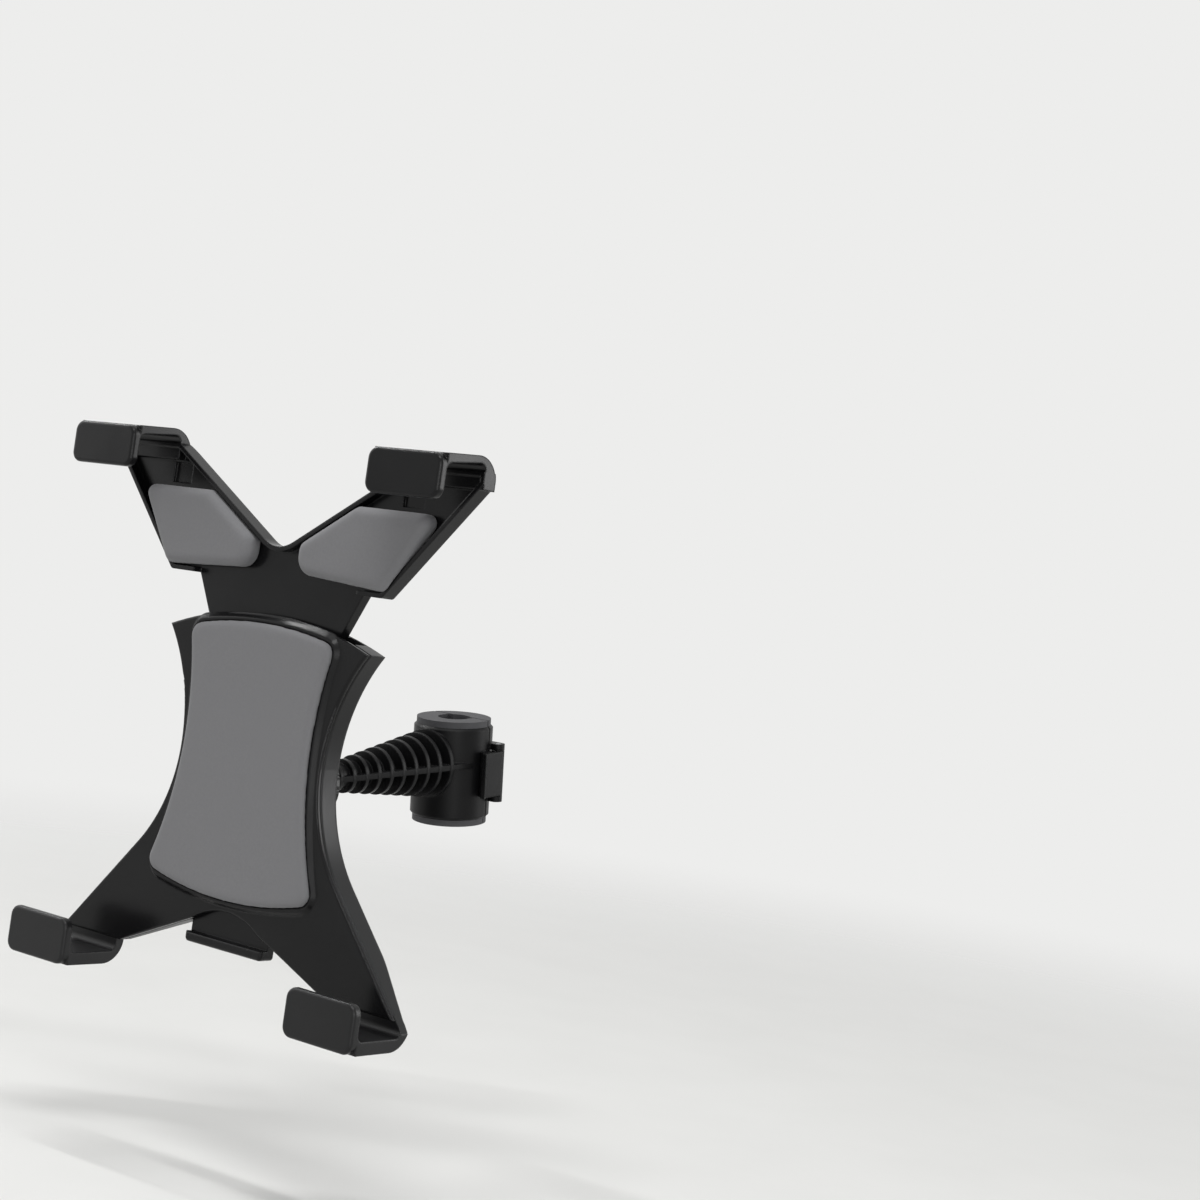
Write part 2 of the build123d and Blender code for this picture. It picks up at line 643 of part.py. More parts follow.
def rear_shell():
    shell = slab(housing_outline(), SEAM_Y, BACK_Y)
    shell = fillet(edges_at_y(shell, BACK_Y), BACK_EDGE)
    shell = chamfer(edges_at_y(shell, SEAM_Y), SEAM_BEVEL)
    shell -= heel()
    wide = LOWER_HOOK_X + LOWER_HOOK_W
    shell -= block(-wide, wide, SEAM_Y - 1, BACK_Y, LOWER_FLOOR_Z - 3 * LOWER_FLOOR, HEEL_END_Z)
    shell += pair(foot_hook())
    shell -= shell_cavity()
    # Rails beside the tail, the right one open for the leaf's tip
    rail_top = TAIL_TOP_Z - DRAW_IN - GAP
    rail = block(RAIL_X, RAIL_X + RAIL_WALL, SEAM_Y, FLOOR_Y, RAIL_LOW_Z, rail_top)
    shell += pair(rail)
    shell -= block(RAIL_X - 1, RAIL_X + RAIL_WALL + 1, SEAM_Y - 1, FLOOR_Y,
                   LEAF_TIP_Z - LEAF_BEND, LEAF_TIP_Z + LEAF_BEND)
    # Rib for the bowed spring, and the two posts that hold the leaf's foot
    rib_z = TAB_TOP_Z + BOW_RISE + FIT
    shell += block(-BOW_RIB_W / 2, BOW_RIB_W / 2, SEAM_Y, FLOOR_Y, rib_z, rib_z + BOW_RIB)
    for side in (-1, 1):
        face = LEAF_X + side * (LEAF_THICK / 2 + FIT)
        shell += block(min(face, face + side * LEAF_POST), max(face, face + side * LEAF_POST),
                       SEAM_Y, FLOOR_Y, LEAF_FOOT_Z - LEAF_POST, LEAF_FOOT_Z + LEAF_POST)
    # Ball socket on the back
    shell += rod(SOCKET_R, BACK_Y - HOUSING_WALL / 2, BACK_Y + SOCKET_LENGTH)
    shell -= rod(SEAT_R + FIT, -SEAT_TOP - SOCKET_DEPTH - FIT, 0)
    for spot in SCREW_SPOTS:
        place = Pos(spot[0], 0, spot[1])
        shell -= place * rod(SCREW_D / 2 + FIT, FLOOR_Y - 1, BACK_Y + 1)
        shell -= place * rod(SCREW_HEAD_D / 2 + GAP, BACK_Y - SCREW_HEAD, BACK_Y + 1)
    return shell


def shell_screws():
    """The housing screws, pan heads in their recesses."""
    grip = BACK_Y - SCREW_HEAD
    screw = rod(SCREW_D / 2, SEAM_Y, grip)
    screw += rod(SCREW_HEAD_D / 2, grip, BACK_Y - FIT)
    half = SCREW_HEAD_D / 3
    slot = SCREW_HEAD_D / 12
    screw -= block(-half, half, grip + SCREW_HEAD / 3, BACK_Y + 1, -slot, slot)
    screw -= block(-slot, slot, grip + SCREW_HEAD / 3, BACK_Y + 1, -half, half)
    return Compound([Pos(spot[0], 0, spot[1]) * screw.solid() for spot in SCREW_SPOTS])


def tray_outline():
    """Front view of the two arms of the bracket, open to the V between them."""
    out_x = UPPER_HOOK_X + UPPER_HOOK_W / 2
    in_x = UPPER_HOOK_X - UPPER_HOOK_W / 2
    slope = tan(radians(V_SLOPE))
    top_z = V_APEX_Z + in_x * slope
    arm_slope = (UPPER_FLOOR_Z - HOOK_BACK_R / 2 - ARM_FOOT_Z) / (out_x - ARM_FOOT_X)
    out_z = ARM_FOOT_Z + (out_x - ARM_FOOT_X) * arm_slope
    points = [
        (0, V_APEX_Z), (in_x, top_z), (out_x, top_z), (out_x, out_z), (ARM_FOOT_X, ARM_FOOT_Z),
        (-ARM_FOOT_X, ARM_FOOT_Z), (-out_x, out_z), (-out_x, top_z), (-in_x, top_z),
    ]
    return outline(points, [(0, V_ROUND), (4, ARM_CORNER), (5, ARM_CORNER)])


def neck_outline():
    """Neck and tail of the bracket, with the slot for the stop and the catch's notches."""
    top = NECK_TOP_W / 2
    end = neck_half_width(NECK_END_Z)
    tail = TAIL_W / 2
    half = [(top, ARM_FOOT_Z + NECK_OVERLAP), (top, ARM_FOOT_Z), (end, NECK_END_Z), (tail, TAIL_TOP_Z),
            (tail, TAIL_END_Z)]
    points = half + [(-x, z) for x, z in reversed(half)]
    plate = outline(points, [(4, TAIL_CORNER), (5, TAIL_CORNER)])
    slot = STOP_D / 2 + GAP
    low = STOP_Z - DRAW_OUT
    high = STOP_Z + DRAW_IN
    plate -= Pos(0, (low + high) / 2) * SlotOverall(high - low + 2 * slot, 2 * slot, rotation=90)
    for step in range(-int(DRAW_OUT / NOTCH_PITCH), int(DRAW_IN / NOTCH_PITCH) + 1):
        z = LEAF_TIP_Z + step * NOTCH_PITCH
        plate -= outline([(tail - NOTCH_DEPTH, z), (tail + 1, z), (tail + 1, z + NOTCH_PITCH * 2 / 3),
                          (tail, z + NOTCH_PITCH * 2 / 3)])
    return plate


def slider_bracket():
    tray = slab(tray_outline(), RIM_Y, TRAY_BACK_Y)
    pocket = offset(tray_outline(), amount=-RIM)
    tray -= slab(pocket, RIM_Y - 1, TAIL_Y)
    # No rim where the floor runs on into the neck
    neck = NECK_TOP_W / 2
    tray -= block(-neck, neck, RIM_Y - 1, TAIL_Y, ARM_FOOT_Z - 1, ARM_FOOT_Z + 2 * RIM)
    # The arms' tops follow the round backs of the hooks
    reach = UPPER_HOOK_X + UPPER_HOOK_W
    high = UPPER_FLOOR_Z + UPPER_FLOOR + UPPER_RISE
    round_top = outline([(LIP_Y, high), (TRAY_BACK_Y, high), (TRAY_BACK_Y, TAIL_TOP_Z), (LIP_Y, TAIL_TOP_Z)],
                        [(1, HOOK_BACK_R)])
    tray &= bar(round_top, -reach, reach)
    tray += pair(hook(UPPER_HOOK_X, UPPER_HOOK_W, UPPER_FLOOR_Z, -1, UPPER_FLOOR, UPPER_RISE,
                      TRAY_BACK_Y - UPPER_STRIP, TRAY_BACK_Y))
    body = tray + slab(neck_outline(), TAIL_Y, TAIL_BACK_Y)
    # Shallow recess at each hook's inner end
    in_x = UPPER_HOOK_X - UPPER_HOOK_W / 2
    low = ARM_PAD_TOP_Z + RIM
    recess = block(in_x - RECESS_W / 2, in_x + RECESS_W / 2, RIM_Y - 1, TRAY_BACK_Y - RECESS_FLOOR,
                   low, low + RECESS_H)
    return body - pair(recess)


def arm_pad():
    """Right pad of the bracket: a face that stands over the rim and a plug in the tray."""
    inset = ARM_PAD_INSET / cos(radians(V_SLOPE))
    slope = tan(radians(V_SLOPE))
    low_v = V_APEX_Z - inset + ARM_PAD_INNER_X * slope
    top_x = (ARM_PAD_TOP_Z - V_APEX_Z + inset) / slope
    points = [
        (top_x, ARM_PAD_TOP_Z), (ARM_PAD_OUTER_TOP_X, ARM_PAD_TOP_Z), (ARM_PAD_OUTER_LOW_X, ARM_PAD_LOW_Z),
        (ARM_PAD_INNER_X, ARM_PAD_INNER_LOW_Z), (ARM_PAD_INNER_X, low_v),
    ]
    corners = [(0, ARM_PAD_CORNER), (1, ARM_PAD_CORNER), (2, ARM_PAD_CORNER), (3, ARM_PAD_INNER_R),
               (4, ARM_PAD_CORNER)]
    shape = outline(points, corners)
    face = slab(shape, PAD_Y, RIM_Y)
    face = chamfer(edges_at_y(face, PAD_Y), ARM_PAD_BEVEL)
    plug = slab(shape & offset(tray_outline(), amount=-RIM - GAP), RIM_Y, TAIL_Y)
    return face + plug


def click_spring():
    """Leaf from its foot between two posts to the bent tip in a notch of the tail."""
    tail = TAIL_W / 2
    tip = tail - NOTCH_DEPTH / 3
    bend = LEAF_TIP_Z - LEAF_BEND
    path = Polyline((LEAF_X, LEAF_FOOT_Z - LEAF_POST), (LEAF_X, bend), (tip, LEAF_TIP_Z + LEAF_THICK + GAP),
                    (LEAF_X - LEAF_STAND / 2, LEAF_TIP_Z + LEAF_BEND - GAP))
    strip = trace(path, LEAF_THICK)
    middle = (SEAM_Y + FLOOR_Y) / 2
    return slab(strip, middle - LEAF_WIDTH / 2, middle + LEAF_WIDTH / 2)


def release_tab():
    half = TAB_W / 2
    wide = half + TAB_LUG
    ledge = TAB_TOP_Z - TAB_LUG_H
    points = [
        (-half, TAB_LOW_Z), (half, TAB_LOW_Z), (half, ledge), (wide, ledge), (wide, TAB_TOP_Z),
        (-wide, TAB_TOP_Z), (-wide, ledge), (-half, ledge),
    ]
    back = TAB_Y + TAB_THICK
    tab = slab(outline(points, [(0, TAB_CORNER), (1, TAB_CORNER)]), TAB_Y, back)
    lip = slab(outline([(-half, TAB_LOW_Z), (half, TAB_LOW_Z), (half, TAB_LOW_Z + TAB_LIP_H),
                        (-half, TAB_LOW_Z + TAB_LIP_H)], [(0, TAB_CORNER), (1, TAB_CORNER)]),
               TAB_Y - TAB_LIP, back)
    tab += fillet(edges_at_y(lip, TAB_Y - TAB_LIP), TAB_LIP_EDGE)
    # Arm with a sloped nose just below the leaf's free length, on its inner side
    nose_x = LEAF_X - LEAF_THICK / 2 - GAP
    nose_z = LEAF_FOOT_Z - 2 * LEAF_POST - TAB_TRAVEL
    arm = outline([(nose_x - TAB_ARM_W, TAB_TOP_Z - 1), (nose_x, TAB_TOP_Z - 1), (nose_x, nose_z - TAB_ARM_W),
                   (nose_x - TAB_ARM_W, nose_z)])
    return tab + slab(arm, TAB_Y, back)


def return_spring():
    """Bowed strip between the tab's top edge and the rib above it."""
    half = BOW_SPAN / 2
    low = TAB_TOP_Z + FIT + BOW_THICK / 2
    high = TAB_TOP_Z + BOW_RISE - BOW_THICK / 2
    strip = trace(ThreePointArc((-half, low), (0, high), (half, low)), BOW_THICK)
    middle = (SEAM_Y + FLOOR_Y) / 2
    return slab(strip, middle - LEAF_WIDTH / 2, middle + LEAF_WIDTH / 2)


CLAMP_PIECES = [clamp_arm, clamp_jaw, liner_front, liner_rear, jaw_pin, latch_pin, latch_clip]
ARM_PIECES = [ball_stud, stud_screw]
HOLDER_PIECES = [ball_seat, ring_nut, rear_shell, front_cover, center_pad, shell_screws, slider_bracket,
                 click_spring, release_tab, return_spring]


def main():
    os.makedirs("parts", exist_ok=True)
    pieces = {make.__name__: CLAMP * make() for make in CLAMP_PIECES}
    pieces.update({make.__name__: ARM * make() for make in ARM_PIECES})
    pieces.update({make.__name__: HOLDER * make() for make in HOLDER_PIECES})
    pieces["upper_pad_right"] = HOLDER * arm_pad()
    pieces["upper_pad_left"] = HOLDER * mirror(arm_pad(), about=Plane.YZ)
    for name, piece in pieces.items():
        export_step(piece, f"parts/{name}.step")


main()
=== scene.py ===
import bpy
from mathutils import Matrix, Vector


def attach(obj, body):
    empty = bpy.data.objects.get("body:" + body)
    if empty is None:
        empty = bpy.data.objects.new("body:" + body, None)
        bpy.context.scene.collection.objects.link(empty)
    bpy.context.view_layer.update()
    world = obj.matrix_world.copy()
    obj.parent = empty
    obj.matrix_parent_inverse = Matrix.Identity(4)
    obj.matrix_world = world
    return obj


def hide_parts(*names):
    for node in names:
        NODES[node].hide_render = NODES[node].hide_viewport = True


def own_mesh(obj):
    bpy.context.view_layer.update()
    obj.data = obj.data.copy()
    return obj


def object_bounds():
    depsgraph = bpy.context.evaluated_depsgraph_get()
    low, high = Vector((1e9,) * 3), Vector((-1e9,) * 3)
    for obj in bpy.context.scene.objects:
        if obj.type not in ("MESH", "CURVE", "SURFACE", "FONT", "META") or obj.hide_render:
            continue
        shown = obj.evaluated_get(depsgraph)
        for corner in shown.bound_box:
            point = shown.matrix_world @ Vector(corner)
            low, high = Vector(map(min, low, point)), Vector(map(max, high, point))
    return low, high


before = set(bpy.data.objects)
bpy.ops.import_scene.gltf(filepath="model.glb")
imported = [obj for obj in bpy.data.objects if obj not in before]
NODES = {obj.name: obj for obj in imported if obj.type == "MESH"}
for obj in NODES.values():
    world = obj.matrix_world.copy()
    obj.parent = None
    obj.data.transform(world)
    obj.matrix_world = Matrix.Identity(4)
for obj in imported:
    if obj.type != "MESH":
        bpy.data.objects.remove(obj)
CAD_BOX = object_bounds()

bl_info = {
    "name": "Headrest Tablet Holder",
    "version": (1, 0, 0),
    "blender": (4, 5, 0),
    "location": "View3D > Sidebar > Tablet Holder",
    "description": "Finishes a tablet holder for a headrest post and sets up its studio",
    "category": "Object",
}

MM = 0.001
FLOOR_DROP = 60 * MM  # room under the feet for the holder to turn over on its ball
FLOOR_RADIUS = 2.0
FLOOR_FADE = (0.25, 1.2)  # distances from the middle where the floor starts and ends to fade
WELD = 0.004 * MM  # corners of a node's triangles closer than this are one
ROLL_PASSES = 16
EASE_PASSES = 2

# Sizes of the surfaces' patterns, in mm
PAD_PATCH = 28.0
LINER_BLOOM = 6.0
LINER_GRAIN = 0.5
NYLON_WAX = 3.0
STEEL_STREAK = 0.3
FLOOR_FIBRE = 60.0

SATIN_NODES = ["ball_stud", "ring_nut", "front_cover", "slider_bracket", "release_tab"]
MATT_NODES = ["clamp_arm", "clamp_jaw", "latch_clip"]
SPARKED_NODES = ["rear_shell"]
PAD_NODES = {"center_pad": "holder", "upper_pad_left": "slider", "upper_pad_right": "slider"}
LINER_NODES = ["liner_front", "liner_rear"]
STEEL_NODES = ["jaw_pin", "latch_pin", "stud_screw", "shell_screws", "click_spring"]

# Name, place, width, height and power of each lamp; the narrow ones draw a line of light along the rims
LAMPS = [
    ("overhead", (0.0, -0.3, 1.6), 1.4, 1.0, 5.5),
    ("top_strip", (-0.95, -0.15, 1.25), 0.06, 1.0, 9.0),
    ("front_strip", (0.45, -0.7, 1.25), 0.9, 0.06, 8.0),
    ("left", (-1.5, -0.7, 0.6), 0.8, 1.2, 5.0),
    ("right_back", (1.3, 1.3, 0.5), 0.4, 1.3, 10.0),
    ("right_strip", (1.35, -1.0, 0.15), 0.05, 1.0, 6.0),
    ("front_fill", (0.9, -1.6, 0.2), 0.9, 0.8, 3.5),
]
LAMP_AIM = Vector((0.0, -0.09, 0.0))

# The photographer's place, level with the ball joint and a little rolled
CAMERA_PLACE = Vector((0.5248, -0.6280, 0.0607))
CAMERA_RIGHT = Vector((0.7948, 0.5901, 0.1416))
CAMERA_UP = Vector((-0.1072, -0.0932, 0.9899))
CAMERA_LENS = 66.0


def srgb(text):
    """Linear RGBA of an sRGB hex colour such as 1e1e20."""
    parts = [int(text[i:i + 2], 16) / 255 for i in (0, 2, 4)]
    linear = [c / 12.92 if c <= 0.04045 else ((c + 0.055) / 1.055) ** 2.4 for c in parts]
    return (*linear, 1.0)


def add(tree, kind, inputs=None, **settings):
    """Adds a node with its settings; an input takes a value or another node's output."""
    made = tree.nodes.new(kind)
    for name, value in settings.items():
        setattr(made, name, value)
    for name, value in (inputs or {}).items():
        socket = made.inputs[name]
        if isinstance(value, bpy.types.NodeSocket):
            tree.links.new(value, socket)
        else:
            socket.default_value = value
    return made


def per_mm(size):
    """Scale of a noise whose grains are this many millimetres, on coordinates in metres."""
    return 1 / (size * MM)


def new_material(name):
    """An empty node material with its output; returns the material, its tree and the output."""
    material = bpy.data.materials.new(name)
    material.use_nodes = True
    tree = material.node_tree
    tree.nodes.clear()
    return material, tree, tree.nodes.new("ShaderNodeOutputMaterial")


def moulded_abs(look, name, dark, pale, gloss_low, gloss_high, shine):
    """Black ABS, injection moulded in a fine-textured steel mould."""
    # Deep black, from matt to satin as the mould was finished: light runs along the rims in a pale line,
    # and the walls show a very fine spark texture with slow, cloudy changes of gloss from handling.
    material, tree, out = new_material(name)
    place = add(tree, "ShaderNodeTexCoord").outputs["Object"]
    cloud = add(tree, "ShaderNodeTexNoise", {"Vector": place, "Scale": per_mm(look.abs_cloud), "Detail": 4.0})
    grain = add(tree, "ShaderNodeTexNoise", {"Vector": place, "Scale": per_mm(look.abs_grain), "Detail": 3.0})
    colour = add(tree, "ShaderNodeMix", {"Factor": cloud.outputs["Fac"], "A": srgb(dark),
                                         "B": srgb(pale)}, data_type="RGBA")
    gloss = add(tree, "ShaderNodeMapRange", {"Value": cloud.outputs["Fac"], "From Min": 0.3, "From Max": 0.7,
                                             "To Min": gloss_low, "To Max": gloss_high})
    round_edge = add(tree, "ShaderNodeBevel", {"Radius": look.abs_edge}, samples=6)
    bump = add(tree, "ShaderNodeBump", {"Height": grain.outputs["Fac"], "Strength": 0.10, "Distance": 0.05 * MM,
                                        "Normal": round_edge.outputs["Normal"]})
    shader = add(tree, "ShaderNodeBsdfPrincipled", {
        "Base Color": colour.outputs["Result"], "Roughness": gloss.outputs["Result"], "IOR": 1.54,
        "Specular IOR Level": shine, "Normal": bump.outputs["Normal"]})
    tree.links.new(shader.outputs["BSDF"], out.inputs["Surface"])
    return material


def pad_rubber(look):
    """Grey foam rubber with a soft, grippy skin."""
    # Even neutral grey with no gloss: a fine speckle of closed cells and a soft sheen at grazing light.
    material, tree, out = new_material("Grey foam rubber")
    place = add(tree, "ShaderNodeTexCoord").outputs["Object"]
    cells = add(tree, "ShaderNodeTexNoise", {"Vector": place, "Scale": per_mm(look.pad_grain), "Detail": 5.0,
                                             "Roughness": 0.6})
    patches = add(tree, "ShaderNodeTexNoise", {"Vector": place, "Scale": per_mm(PAD_PATCH), "Detail": 2.0})
    speckle = add(tree, "ShaderNodeMix", {"Factor": cells.outputs["Fac"], "A": srgb("646466"),
                                          "B": srgb("7a7a7c")}, data_type="RGBA")
    colour = add(tree, "ShaderNodeMix", {"Factor": patches.outputs["Fac"], "A": speckle.outputs["Result"],
                                         "B": srgb("6f6f71")}, data_type="RGBA")
    rough = add(tree, "ShaderNodeMapRange", {"Value": cells.outputs["Fac"], "To Min": 0.72, "To Max": 0.92})
    bump = add(tree, "ShaderNodeBump", {"Height": cells.outputs["Fac"], "Strength": 0.35,
                                        "Distance": 0.12 * MM})
    shader = add(tree, "ShaderNodeBsdfPrincipled", {
        "Base Color": colour.outputs["Result"], "Roughness": rough.outputs["Result"], "IOR": 1.5,
        "Specular IOR Level": 0.35, "Normal": bump.outputs["Normal"], "Sheen Weight": 0.15,
        "Sheen Roughness": 0.5})
    tree.links.new(shader.outputs["BSDF"], out.inputs["Surface"])
    return material


def liner_rubber():
    """Moulded clamp rubber, dusted matt."""
    # Dark grey and dull, a little paler than the plastic round it, with a cloudy bloom.
    material, tree, out = new_material("Clamp liner rubber")
    place = add(tree, "ShaderNodeTexCoord").outputs["Object"]
    bloom = add(tree, "ShaderNodeTexNoise", {"Vector": place, "Scale": per_mm(LINER_BLOOM), "Detail": 6.0})
    grain = add(tree, "ShaderNodeTexNoise", {"Vector": place, "Scale": per_mm(LINER_GRAIN), "Detail": 3.0})
    colour = add(tree, "ShaderNodeMix", {"Factor": bloom.outputs["Fac"], "A": srgb("2c2c2e"),
                                         "B": srgb("404043")}, data_type="RGBA")
    bump = add(tree, "ShaderNodeBump", {"Height": grain.outputs["Fac"], "Strength": 0.2, "Distance": 0.08 * MM})
    shader = add(tree, "ShaderNodeBsdfPrincipled", {
        "Base Color": colour.outputs["Result"], "Roughness": 0.7, "IOR": 1.5, "Normal": bump.outputs["Normal"]})
    tree.links.new(shader.outputs["BSDF"], out.inputs["Surface"])
    return material


def seat_nylon():
    """Unpolished black nylon of the ball's seat."""
    # Duller than the ABS, with a waxy spread to its highlights.
    material, tree, out = new_material("Black nylon")
    place = add(tree, "ShaderNodeTexCoord").outputs["Object"]
    wax = add(tree, "ShaderNodeTexNoise", {"Vector": place, "Scale": per_mm(NYLON_WAX), "Detail": 4.0})
    colour = add(tree, "ShaderNodeMix", {"Factor": wax.outputs["Fac"], "A": srgb("262628"),
                                         "B": srgb("343437")}, data_type="RGBA")
    shader = add(tree, "ShaderNodeBsdfPrincipled", {"Base Color": colour.outputs["Result"], "Roughness": 0.5,
                                                    "IOR": 1.53})
    tree.links.new(shader.outputs["BSDF"], out.inputs["Surface"])
    return material


def zinc_steel():
    """Zinc-plated steel of the pins, screws and springs."""
    # Mid grey with a faint blue cast, drawn streaks and a slightly uneven gloss.
    material, tree, out = new_material("Zinc-plated steel")
    place = add(tree, "ShaderNodeTexCoord").outputs["Object"]
    spread = add(tree, "ShaderNodeMapping", {"Vector": place, "Scale": (1.0, 0.1, 1.0)})
    streak = add(tree, "ShaderNodeTexNoise", {"Vector": spread.outputs["Vector"], "Scale": per_mm(STEEL_STREAK),
                                              "Detail": 3.0})
    colour = add(tree, "ShaderNodeMix", {"Factor": streak.outputs["Fac"], "A": srgb("85878a"),
                                         "B": srgb("a6a8aa")}, data_type="RGBA")
    rough = add(tree, "ShaderNodeMapRange", {"Value": streak.outputs["Fac"], "To Min": 0.28, "To Max": 0.42})
    shader = add(tree, "ShaderNodeBsdfPrincipled", {"Base Color": colour.outputs["Result"], "Metallic": 1.0,
                                                    "Roughness": rough.outputs["Result"]})
    tree.links.new(shader.outputs["BSDF"], out.inputs["Surface"])
    return material


def dress(piece, material):
    """Gives a piece its one material."""
    piece.data.materials.clear()
    piece.data.materials.append(material)


def copy_of(node, name):
    """A new piece with a node's mesh, merged into one skin, selected and active by itself."""
    bpy.ops.object.select_all(action="DESELECT")
    piece = bpy.data.objects.new(name, NODES[node].data.copy())
    bpy.context.scene.collection.objects.link(piece)
    piece.select_set(True)
    bpy.context.view_layer.objects.active = piece
    bpy.ops.object.mode_set(mode="EDIT")
    bpy.ops.mesh.select_all(action="SELECT")
    bpy.ops.mesh.remove_doubles(threshold=WELD)
    bpy.ops.object.mode_set(mode="OBJECT")
    return piece


def apply_modifier(piece, kind, name, **settings):
    """Adds a modifier and applies it."""
    made = piece.modifiers.new(name, kind)
    for key, value in settings.items():
        setattr(made, key, value)
    bpy.ops.object.modifier_apply(modifier=made.name)


class HolderLook(bpy.types.PropertyGroup):
    """Sizes of the surfaces that a user may change."""
    abs_cloud: bpy.props.FloatProperty(name="ABS cloud", description="Size of the slow changes of gloss, in mm",
                                       default=22.0, min=1.0)
    abs_grain: bpy.props.FloatProperty(name="ABS grain", description="Size of the mould's spark texture, in mm",
                                       default=0.45, min=0.05)
    abs_edge: bpy.props.FloatProperty(name="ABS edge", description="Radius of the moulded edges",
                                      default=0.8 * MM, min=0.0, unit="LENGTH", precision=5)
    pad_grain: bpy.props.FloatProperty(name="Pad grain", description="Size of the pad's cells, in mm",
                                       default=0.8, min=0.05)
    pad_voxel: bpy.props.FloatProperty(name="Pad voxel", description="Fineness of the pads' skin",
                                       default=0.6 * MM, min=0.2 * MM, unit="LENGTH", precision=5)
    pad_roll: bpy.props.FloatProperty(name="Pad roll", description="Depth of the pads' rolled front edge",
                                      default=2.4 * MM, min=0.0, unit="LENGTH", precision=5)
    floor_colour: bpy.props.FloatVectorProperty(name="Floor colour", description="Colour of the studio floor",
                                                subtype="COLOR", size=4, default=srgb("e2e2e0"), min=0.0,
                                                max=1.0)


class HOLDER_OT_plastic(bpy.types.Operator):
    """Gives the moulded pieces of the clamp, arm and housing their black ABS"""
    bl_idname = "tablet_holder.plastic"
    bl_label = "Moulded Plastic"

    def execute(self, context):
        look = context.scene.holder_look
        satin = moulded_abs(look, "Moulded black ABS", "080809", "101011", 0.18, 0.28, 0.18)
        for node in SATIN_NODES:
            dress(NODES[node], satin)
        matt = moulded_abs(look, "Matt black ABS", "070708", "0e0e0f", 0.34, 0.46, 0.14)
        for node in MATT_NODES:
            dress(NODES[node], matt)
        sparked = moulded_abs(look, "Spark-textured black ABS", "0f0f10", "181819", 0.30, 0.42, 0.24)
        for node in SPARKED_NODES:
            dress(NODES[node], sparked)
        dress(NODES["ball_seat"], seat_nylon())
        return {"FINISHED"}


class HOLDER_OT_pads(bpy.types.Operator):
    """Makes the soft-edged grey pads that the tablet rests on"""
    bl_idname = "tablet_holder.pads"
    bl_label = "Foam Rubber Pads"

    def execute(self, context):
        look = context.scene.holder_look
        material = pad_rubber(look)
        for node, body in PAD_NODES.items():
            piece = copy_of(node, node + "_soft")
            apply_modifier(piece, "REMESH", "Skin", mode="VOXEL", voxel_size=look.pad_voxel)
            face_y = min(v.co.y for v in piece.data.vertices)
            front = piece.vertex_groups.new(name="front")
            front.add([v.index for v in piece.data.vertices if v.co.y < face_y + look.pad_roll], 1.0, "REPLACE")
            apply_modifier(piece, "SMOOTH", "Roll", factor=0.5, iterations=ROLL_PASSES, vertex_group="front")
            apply_modifier(piece, "SMOOTH", "Ease", factor=0.5, iterations=EASE_PASSES)
            bpy.ops.object.shade_smooth()
            dress(piece, material)
            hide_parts(node)
            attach(piece, body)
        return {"FINISHED"}


class HOLDER_OT_liners(bpy.types.Operator):
    """Gives the clamp's liners their rubber"""
    bl_idname = "tablet_holder.liners"
    bl_label = "Clamp Liners"

    def execute(self, context):
        material = liner_rubber()
        for node in LINER_NODES:
            dress(NODES[node], material)
        return {"FINISHED"}


class HOLDER_OT_steel(bpy.types.Operator):
    """Gives the pins, screws and springs their plated steel"""
    bl_idname = "tablet_holder.steel"
    bl_label = "Pins, Screws and Springs"

    def execute(self, context):
        material = zinc_steel()
        for node in STEEL_NODES:
            dress(NODES[node], material)
        self.bowed_spring(material)
        return {"FINISHED"}

    def bowed_spring(self, material):
        """The strip that bows between its rib and the release tab, smooth-shaded in plated steel."""
        piece = copy_of("return_spring", "return_spring_strip")
        bpy.ops.object.shade_smooth_by_angle()
        dress(piece, material)
        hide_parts("return_spring")
        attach(piece, "holder")
        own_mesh(piece)


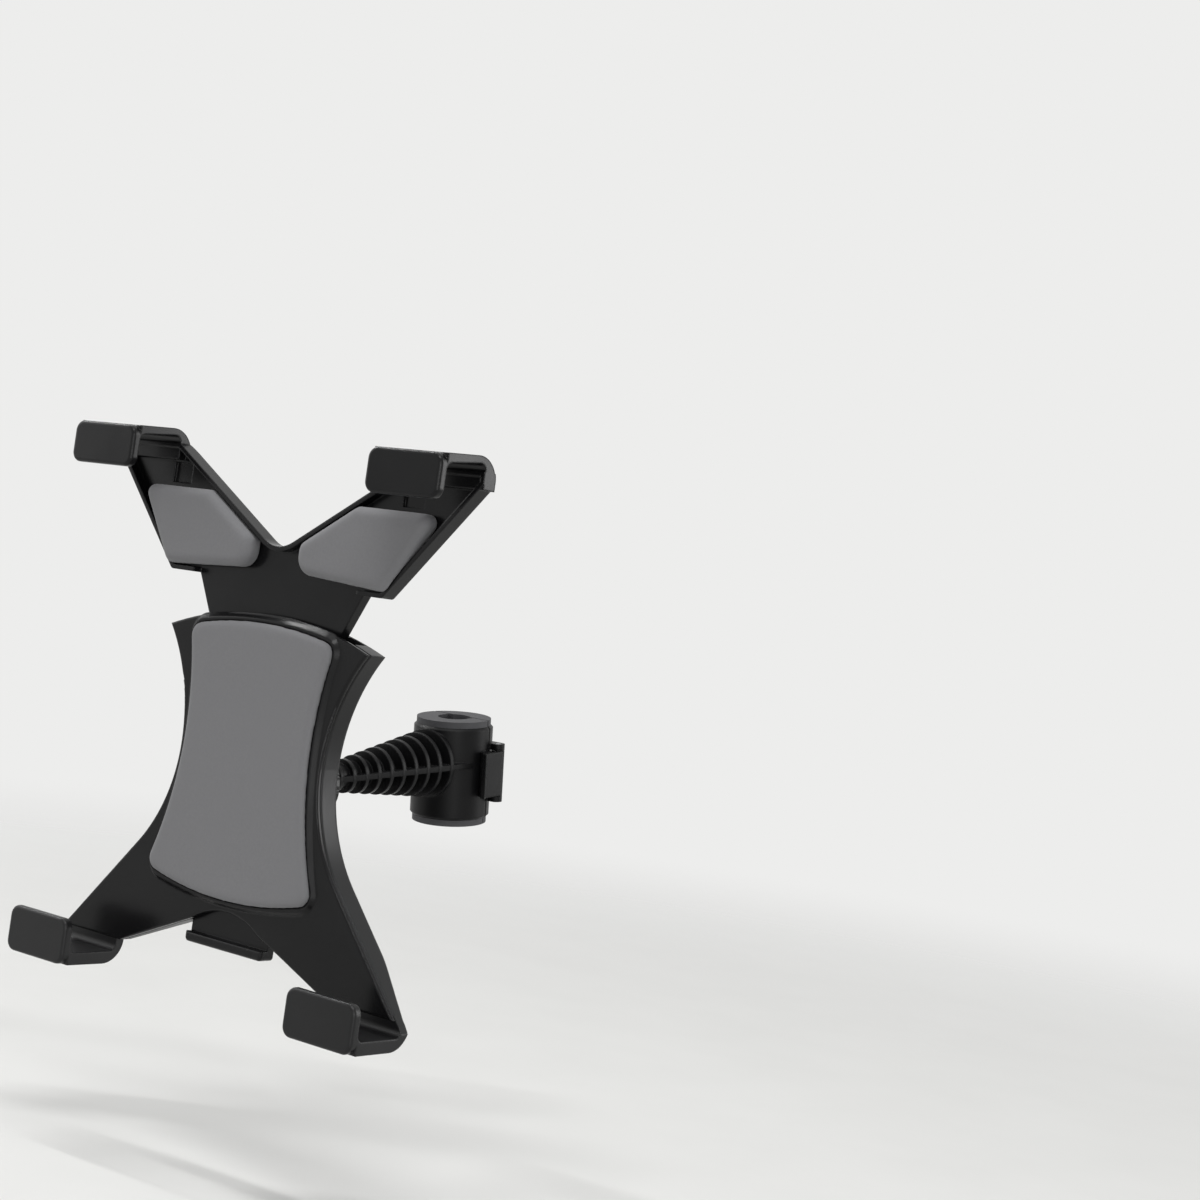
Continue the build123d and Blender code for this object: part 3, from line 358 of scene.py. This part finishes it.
class HOLDER_OT_stage(bpy.types.Operator):
    """Sets up the pale floor and room, the soft lights and the camera"""
    bl_idname = "tablet_holder.stage"
    bl_label = "Studio"

    def execute(self, context):
        scene = context.scene
        scene.view_settings.view_transform = "Standard"
        low = CAD_BOX[0]
        self.floor(scene, Vector(low).z - FLOOR_DROP)
        self.lights(scene)
        self.room(scene)
        self.camera(scene)
        return {"FINISHED"}

    def floor(self, scene, floor_z):
        """A round pale floor whose edge fades into the room."""
        bpy.ops.object.select_all(action="DESELECT")
        bpy.ops.mesh.primitive_circle_add(vertices=96, radius=FLOOR_RADIUS, fill_type="NGON",
                                          location=(0, 0, floor_z))
        floor = bpy.context.active_object
        floor.name = "studio_floor"
        bpy.ops.object.transform_apply(location=True, rotation=True, scale=True)
        material, tree, out = new_material("Pale paper floor")
        place = add(tree, "ShaderNodeTexCoord").outputs["Object"]
        fibre = add(tree, "ShaderNodeTexNoise", {"Vector": place, "Scale": per_mm(FLOOR_FIBRE), "Detail": 3.0})
        colour = add(tree, "ShaderNodeMix", {"Factor": fibre.outputs["Fac"],
                                             "A": scene.holder_look.floor_colour,
                                             "B": srgb("dcdcda")}, data_type="RGBA")
        paper = add(tree, "ShaderNodeBsdfDiffuse", {"Color": colour.outputs["Result"]})
        clear = add(tree, "ShaderNodeBsdfTransparent")
        reach = add(tree, "ShaderNodeVectorMath", {0: place}, operation="LENGTH")
        fade = add(tree, "ShaderNodeMapRange", {"Value": reach.outputs["Value"], "From Min": FLOOR_FADE[0],
                                                "From Max": FLOOR_FADE[1]},
                   interpolation_type="SMOOTHSTEP")
        mixed = add(tree, "ShaderNodeMixShader", {"Fac": fade.outputs["Result"], 1: paper.outputs["BSDF"],
                                                  2: clear.outputs["BSDF"]})
        tree.links.new(mixed.outputs["Shader"], out.inputs["Surface"])
        dress(floor, material)

    def lights(self, scene):
        """Large soft lamps all round, and three narrow ones that draw a line of light along the rims."""
        for name, place, width, height, power in LAMPS:
            data = bpy.data.lights.new(name, "AREA")
            data.shape = "RECTANGLE"
            data.size = width
            data.size_y = height
            data.energy = power
            lamp = bpy.data.objects.new(name, data)
            lamp.location = place
            lamp.rotation_euler = (Vector(place) - LAMP_AIM).to_track_quat("Z", "Y").to_euler()
            scene.collection.objects.link(lamp)

    def room(self, scene):
        """A pale room to look at and in reflections, and a dimmer one to light by."""
        world = bpy.data.worlds.new("Pale room")
        world.use_nodes = True
        tree = world.node_tree
        tree.nodes.clear()
        path = add(tree, "ShaderNodeLightPath")
        seen = add(tree, "ShaderNodeMath", {0: path.outputs["Is Camera Ray"], 1: path.outputs["Is Glossy Ray"]},
                   operation="MAXIMUM")
        shown = add(tree, "ShaderNodeMath", {0: seen.outputs["Value"], 1: path.outputs["Is Transmission Ray"]},
                    operation="MAXIMUM")
        light = add(tree, "ShaderNodeBackground", {"Color": srgb("f4f4f4"), "Strength": 0.32})
        back = add(tree, "ShaderNodeBackground", {"Color": srgb("ededec"), "Strength": 1.0})
        mixed = add(tree, "ShaderNodeMixShader", {"Fac": shown.outputs["Value"], 1: light.outputs["Background"],
                                                  2: back.outputs["Background"]})
        add(tree, "ShaderNodeOutputWorld", {"Surface": mixed.outputs["Shader"]})
        scene.world = world

    def camera(self, scene):
        """The camera at the photographer's place."""
        back = CAMERA_RIGHT.cross(CAMERA_UP).normalized()
        up = back.cross(CAMERA_RIGHT).normalized()
        right = up.cross(back).normalized()
        data = bpy.data.cameras.new("Camera")
        data.sensor_width = 36.0
        data.lens = CAMERA_LENS
        data.clip_start = 0.01
        camera = bpy.data.objects.new("Camera", data)
        turn = Matrix((right, up, back)).transposed().to_4x4()
        camera.matrix_world = Matrix.Translation(CAMERA_PLACE) @ turn
        scene.collection.objects.link(camera)
        scene.camera = camera


class HOLDER_PT_panel(bpy.types.Panel):
    """Shows the surface sizes that a user may change, and a button for each finishing step"""
    bl_idname = "HOLDER_PT_panel"
    bl_label = "Tablet Holder"
    bl_space_type = "VIEW_3D"
    bl_region_type = "UI"
    bl_category = "Tablet Holder"

    def draw(self, context):
        look = context.scene.holder_look
        for name in HolderLook.__annotations__:
            self.layout.prop(look, name)
        for operator in OPERATORS:
            self.layout.operator(operator.bl_idname)


OPERATORS = (HOLDER_OT_plastic, HOLDER_OT_pads, HOLDER_OT_liners, HOLDER_OT_steel, HOLDER_OT_stage)
CLASSES = (HolderLook, *OPERATORS, HOLDER_PT_panel)


def register():
    for kind in CLASSES:
        bpy.utils.register_class(kind)
    bpy.types.Scene.holder_look = bpy.props.PointerProperty(type=HolderLook)


def unregister():
    del bpy.types.Scene.holder_look
    for kind in reversed(CLASSES):
        bpy.utils.unregister_class(kind)


def main():
    register()
    bpy.ops.tablet_holder.plastic()
    bpy.ops.tablet_holder.pads()
    bpy.ops.tablet_holder.liners()
    bpy.ops.tablet_holder.steel()
    bpy.ops.tablet_holder.stage()


if __name__ == "__main__":
    main()
